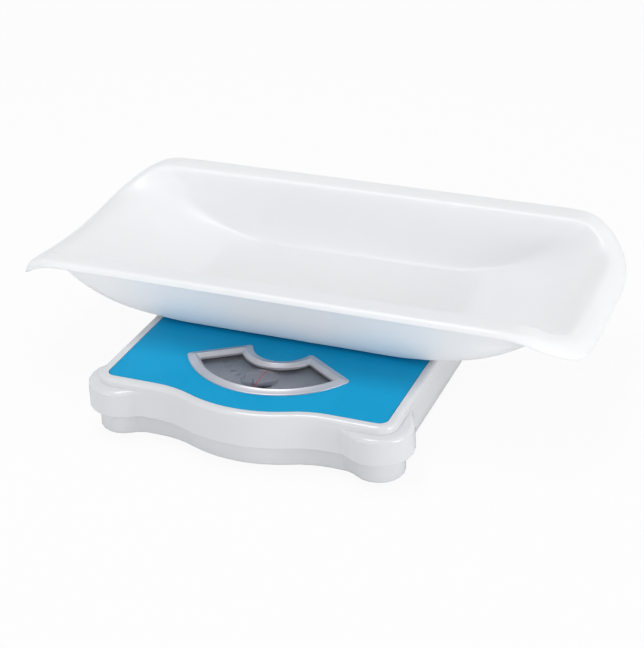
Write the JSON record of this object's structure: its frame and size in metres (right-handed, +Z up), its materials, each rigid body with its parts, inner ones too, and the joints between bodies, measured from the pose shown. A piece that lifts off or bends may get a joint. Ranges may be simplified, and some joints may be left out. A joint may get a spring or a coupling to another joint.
{
  "type": "mechanical baby weighing scale",
  "caption": "Mechanical baby weighing scale: a lever platform with an arc-shaped dial window under a mat, and a lift-off tray with a rolled rim.",
  "frame": {"origin": "on the ground, below the middle of the whole part's box", "axes": "+X to the right along the tray, +Y to the back, away from the dial window, +Z up"},
  "size_m": [0.54, 0.3572, 0.1235],
  "materials": {
    "white_shell": "smooth moulded, satin gloss",
    "white_tray": "smooth moulded, satin gloss",
    "blue_mat": "fine matt grain",
    "silver_bezel": "satin silver with bright edges",
    "clear_lens": "clear, polished",
    "red_line": "printed",
    "dial_print": "printed",
    "plain_plastic": "plain",
    "steel": "zinc plated sheet",
    "spring_steel": "wire",
    "brass": "turned",
    "rubber": "matt"
  },
  "bodies": {
    "base": {"base_shell": "white_shell", "rubber_feet": "rubber", "front_fulcrums": "steel", "rear_fulcrums": "steel", "dial_bridge": "steel", "rack_guide": "plain_plastic", "crank_bracket": "steel", "crank_pin": "steel", "spring_bracket": "steel", "mechanism_screws": "steel", "cover_springs": "spring_steel", "main_springs": "spring_steel"},
    "platform": {"platform_cover": "white_shell", "platform_mat": "blue_mat", "window_bezel": "silver_bezel", "window_lens": "clear_lens", "index_line": "red_line", "load_brackets": "steel"},
    "tray": {"tray": "white_tray", "tray_pads": "rubber"},
    "long_lever": {"long_lever": "steel"},
    "short_lever": {"short_lever": "steel"},
    "spring_plate": {"spring_plate": "steel"},
    "bell_crank": {"bell_crank": "steel"},
    "rack": {"rack": "steel"},
    "dial": {"dial_disc": "dial_print", "dial_shaft": "brass", "dial_hub": "brass"},
    "zero_knob": {"zero_knob": "white_shell"},
    "zero_screw": {"adjusting_screw": "steel"}
  },
  "joints": [
    {"name": "platform_press", "type": "slide", "parent": "base", "child": "platform", "axis": [0, 0, -1], "range_m": [0, 0.0008], "deforming": ["cover_springs"]},
    {"name": "dial_spin", "type": "hinge", "parent": "base", "child": "dial", "pos_m": [0, -0.05635, 0.0465], "axis": [0, 0, 1], "range_deg": [0, 186.2], "stiffness_Nm_per_rad": 0.0149, "springref_deg": -37.07},
    {"name": "tray_lift", "type": "slide", "parent": "platform", "child": "tray", "axis": [0, 0, 1], "range_m": [0, 0.06]},
    {"name": "long_lever_turn", "type": "hinge", "parent": "base", "child": "long_lever", "pos_m": [0, -0.13095, 0.0235], "axis": [-1, 0, 0], "range_deg": [0, 2.3]},
    {"name": "short_lever_turn", "type": "hinge", "parent": "base", "child": "short_lever", "pos_m": [0, 0.10505, 0.033], "axis": [1, 0, 0], "range_deg": [0, 2.3]},
    {"name": "spring_plate_drop", "type": "slide", "parent": "base", "child": "spring_plate", "axis": [0, 0, -1], "range_m": [0, 0.0086], "deforming": ["main_springs"]},
    {"name": "bell_crank_turn", "type": "hinge", "parent": "base", "child": "bell_crank", "pos_m": [0.0052, 0.05208, 0.0195], "axis": [-1, 0, 0], "range_deg": [0, 18.3]},
    {"name": "rack_slide", "type": "slide", "parent": "base", "child": "rack", "axis": [0, 1, 0], "range_m": [0, 0.0072]},
    {"name": "zero_spin", "type": "hinge", "parent": "base", "child": "zero_knob", "pos_m": [0, 0.11005, 0.012], "axis": [0, 0, 1], "range_deg": [-340, 340]},
    {"name": "zero_screw_slide", "type": "slide", "parent": "base", "child": "zero_screw", "axis": [0, 0, 1], "range_m": [-0.00095, 0.00095]}
  ],
  "couplings": [
    {"joint": "dial_spin", "follows": "platform_press", "rad_per_m": 4057.9},
    {"joint": "long_lever_turn", "follows": "platform_press", "rad_per_m": 50},
    {"joint": "short_lever_turn", "follows": "platform_press", "rad_per_m": 50},
    {"joint": "spring_plate_drop", "follows": "platform_press", "ratio": 10.7},
    {"joint": "bell_crank_turn", "follows": "platform_press", "rad_per_m": 396.77},
    {"joint": "rack_slide", "follows": "platform_press", "ratio": 8.9274},
    {"joint": "zero_screw_slide", "follows": "zero_spin", "m_per_rad": 0.00015915}
  ]
}
